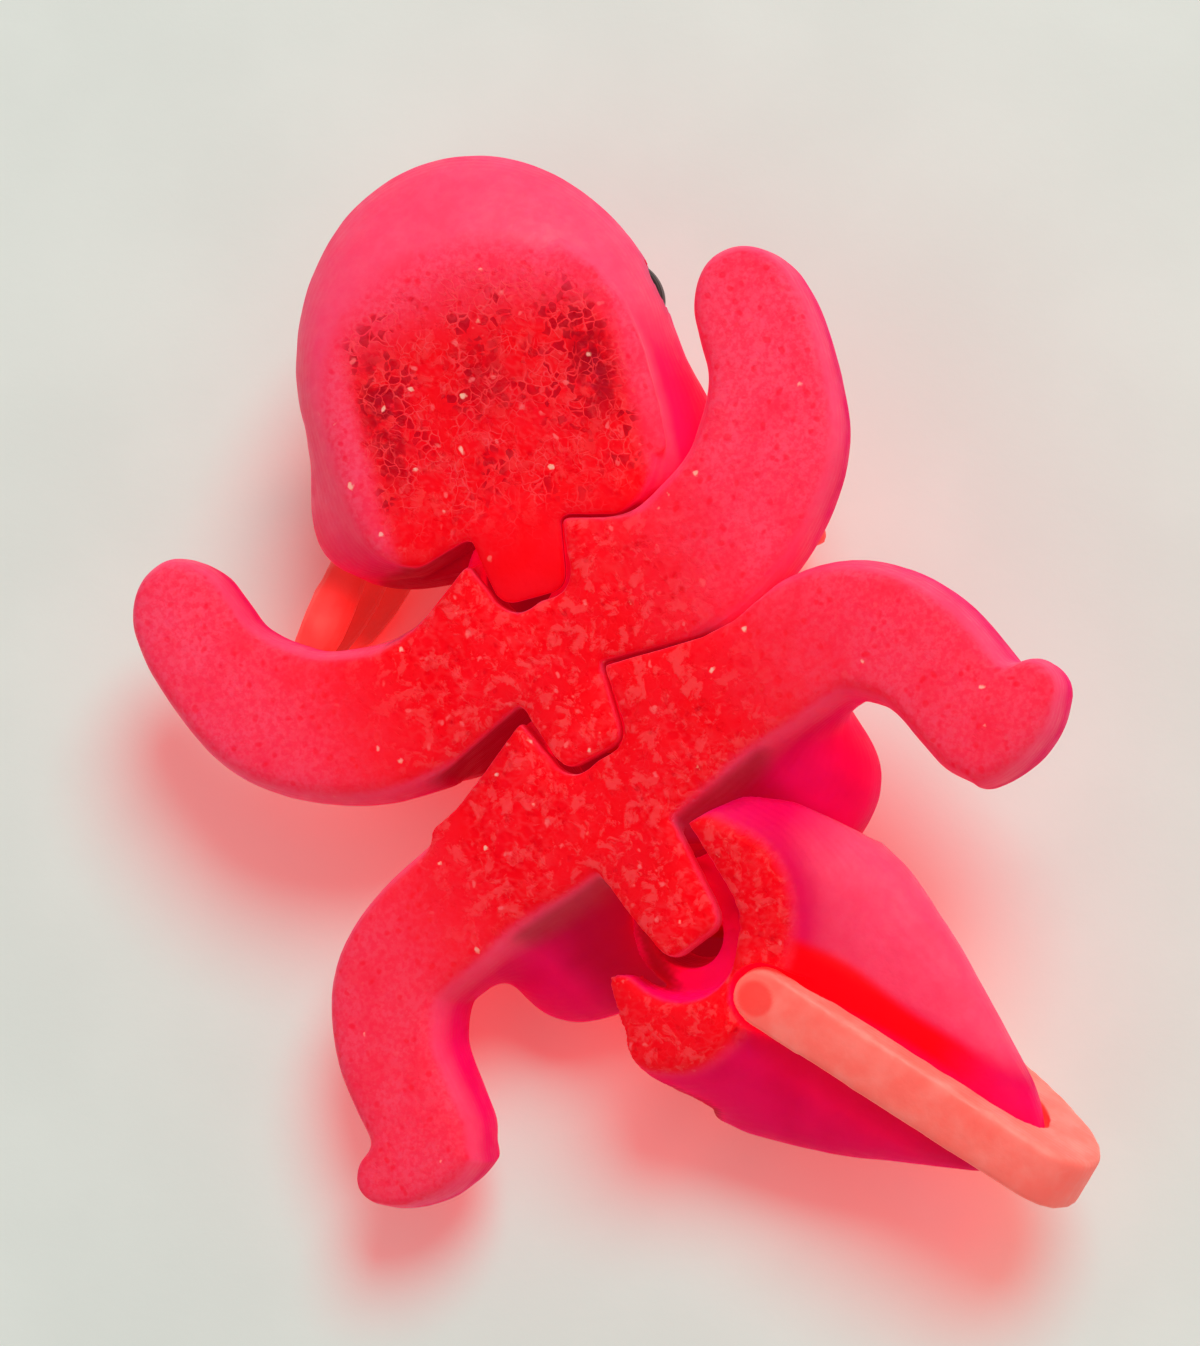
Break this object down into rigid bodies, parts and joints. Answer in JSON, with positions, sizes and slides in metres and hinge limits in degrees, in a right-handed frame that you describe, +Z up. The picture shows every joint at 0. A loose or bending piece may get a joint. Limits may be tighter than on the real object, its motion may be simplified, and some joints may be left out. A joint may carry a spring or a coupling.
{
  "type": "articulated axolotl figure",
  "caption": "Small jointed toy axolotl of pink printed plastic, lying on its back: head, front body, rear body and finned tail swing sideways on vertical pins.",
  "frame": {"origin": "on the table, under the middle of the figure's bounding box", "axes": "+Z up from the table, the figure lying on its back with the belly up as in the picture; +Y towards the head end, which is the top of the picture; +X to the picture's right, the animal's left"},
  "size_m": [0.04, 0.0424, 0.0147],
  "materials": {
    "pink_plastic": "satin, rough on the printed belly",
    "salmon_plastic": "satin",
    "black_plastic": "gloss"
  },
  "bodies": {
    "rear_body": {"rear_body": "pink_plastic", "tail_pin": "pink_plastic"},
    "front_body": {"front_body": "pink_plastic", "waist_pin": "pink_plastic"},
    "head": {"head": "pink_plastic", "neck_pin": "pink_plastic", "eye_right": "black_plastic", "eye_left": "black_plastic", "gill_right_lower": "salmon_plastic", "gill_right_middle": "salmon_plastic", "gill_right_upper": "salmon_plastic", "gill_left_lower": "salmon_plastic", "gill_left_middle": "salmon_plastic", "gill_left_upper": "salmon_plastic"},
    "tail": {"tail_body": "pink_plastic", "tail_fin": "salmon_plastic"}
  },
  "joints": [
    {"name": "waist", "type": "hinge", "parent": "rear_body", "child": "front_body", "pos_m": [-0.0003, -0.00226, 0.00718], "axis": [0.1106, 0.1211, -0.9865], "range_deg": [-10, 0]},
    {"name": "neck", "type": "hinge", "parent": "front_body", "child": "head", "pos_m": [-0.00313, 0.00436, 0.00767], "axis": [-0.0506, 0.1867, -0.9811], "range_deg": [-20, 0]},
    {"name": "tail_root", "type": "hinge", "parent": "rear_body", "child": "tail", "pos_m": [0.00425, -0.00974, 0.00733], "axis": [0.2334, 0.1229, -0.9646], "range_deg": [0, 50]}
  ]
}
